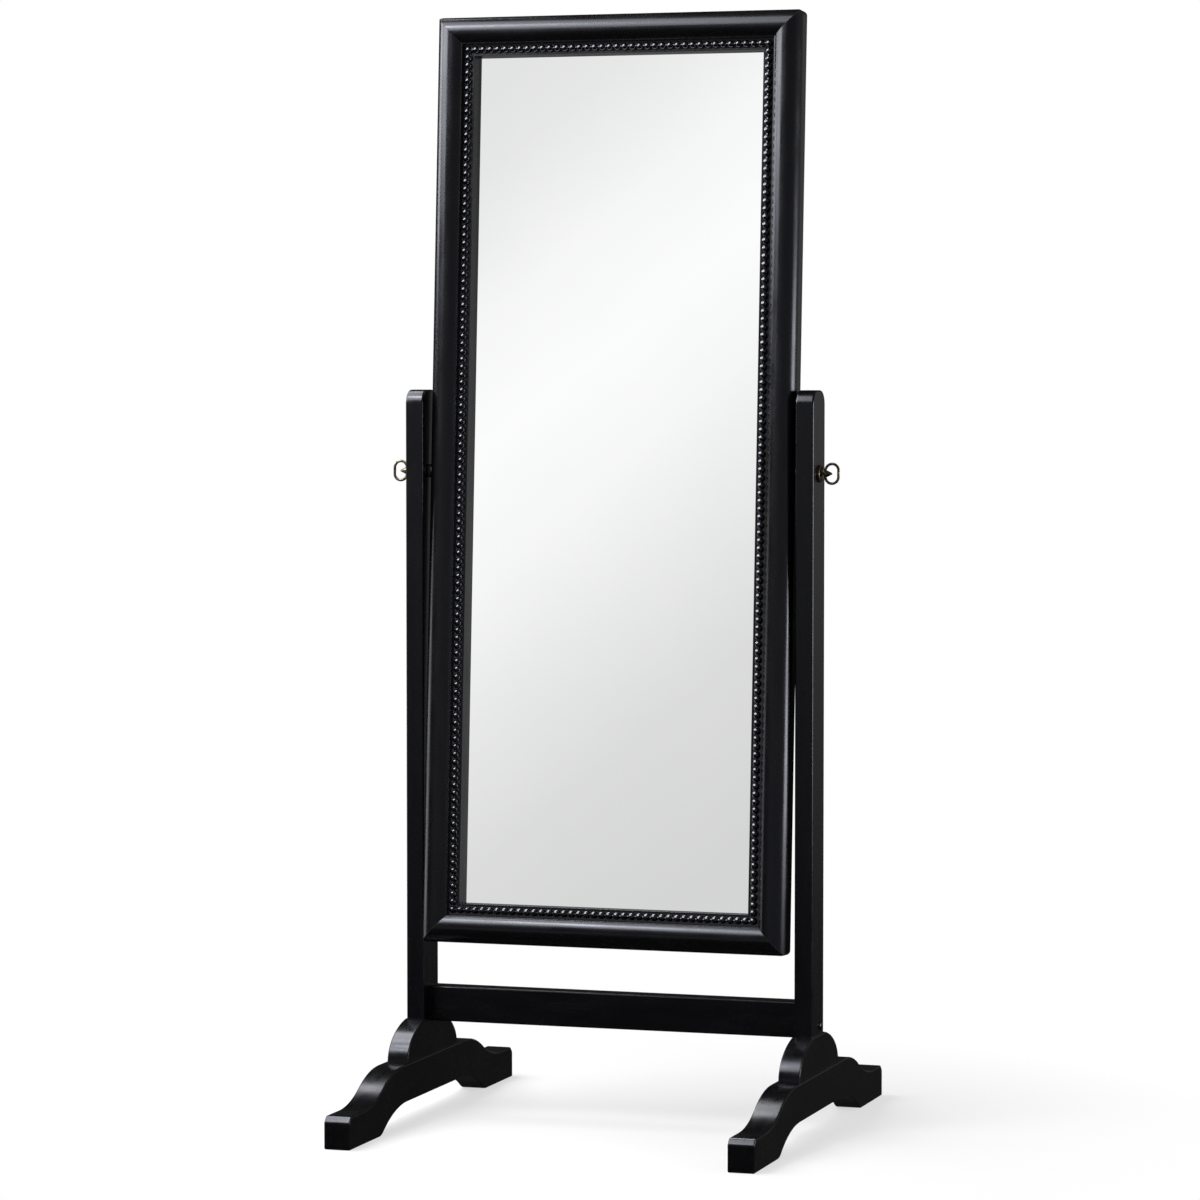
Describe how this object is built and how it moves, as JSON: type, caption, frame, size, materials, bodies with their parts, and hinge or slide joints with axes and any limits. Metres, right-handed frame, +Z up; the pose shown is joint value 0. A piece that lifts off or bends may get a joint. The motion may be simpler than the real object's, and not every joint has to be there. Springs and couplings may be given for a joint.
{
  "type": "cheval mirror",
  "caption": "Tall free-standing mirror in a black half-round frame with a beaded inner edge, tilting between posts on arched feet and locked by brass ring-headed thumb screws.",
  "frame": {"origin": "on the floor, midway between the two feet and midway along them", "axes": "+X to the right of a person who looks at the mirror's face, -Y out of the mirror's face towards that person, +Z up"},
  "size_m": [0.593, 0.612, 1.407],
  "materials": {
    "black_lacquer": "satin black lacquer on hardwood",
    "antique_brass": "darkened cast brass, rubbed brighter on the high places",
    "black_steel": "satin black",
    "zinc_steel": "zinc plated",
    "beech": "bare beech",
    "mirror": "silvered float glass",
    "card": "grey packing card",
    "hardboard": "smooth brown hardboard",
    "fibre": "dark vulcanised fibre"
  },
  "bodies": {
    "stand": {"post_left": "black_lacquer", "post_right": "black_lacquer", "foot_left": "black_lacquer", "foot_right": "black_lacquer", "foot_block_left": "black_lacquer", "foot_block_right": "black_lacquer", "stretcher": "black_lacquer", "stretcher_bolts": "black_steel", "barrel_nuts": "zinc_steel", "stretcher_dowels": "beech", "tenon_pins": "black_lacquer", "foot_screws": "zinc_steel"},
    "mirror": {"top_rail": "black_lacquer", "bottom_rail": "black_lacquer", "left_stile": "black_lacquer", "right_stile": "black_lacquer", "bead_strip_top": "black_lacquer", "bead_strip_bottom": "black_lacquer", "bead_strip_left": "black_lacquer", "bead_strip_right": "black_lacquer", "mirror_glass": "mirror", "packing_card": "card", "backing_board": "hardboard", "back_points": "zinc_steel", "corner_dowels": "beech", "pivot_bush_left": "zinc_steel", "pivot_bush_right": "zinc_steel", "friction_washer_left": "fibre", "friction_washer_right": "fibre"},
    "left_rosette": {"rosette_left": "antique_brass"},
    "right_rosette": {"rosette_right": "antique_brass"},
    "left_screw": {"thumb_screw_left": "antique_brass"},
    "right_screw": {"thumb_screw_right": "antique_brass"}
  },
  "joints": [
    {"name": "mirror_tilt", "type": "hinge", "parent": "stand", "child": "mirror", "pos_m": [0, 0, 0.828], "axis": [1, 0, 0], "continuous": true},
    {"name": "left_rosette_out", "type": "slide", "parent": "mirror", "child": "left_rosette", "axis": [-1, 0, 0], "range_m": [0, 0.003]},
    {"name": "left_screw_turn", "type": "hinge", "parent": "left_rosette", "child": "left_screw", "pos_m": [-0.29, 0, 0.828], "axis": [-1, 0, 0], "range_deg": [0, 1081]},
    {"name": "right_rosette_out", "type": "slide", "parent": "mirror", "child": "right_rosette", "axis": [1, 0, 0], "range_m": [0, 0.003]},
    {"name": "right_screw_turn", "type": "hinge", "parent": "right_rosette", "child": "right_screw", "pos_m": [0.29, 0, 0.828], "axis": [1, 0, 0], "range_deg": [0, 1081]}
  ],
  "couplings": [
    {"joint": "left_screw_turn", "follows": "left_rosette_out", "rad_per_m": 6283.2},
    {"joint": "right_screw_turn", "follows": "right_rosette_out", "rad_per_m": 6283.2}
  ]
}
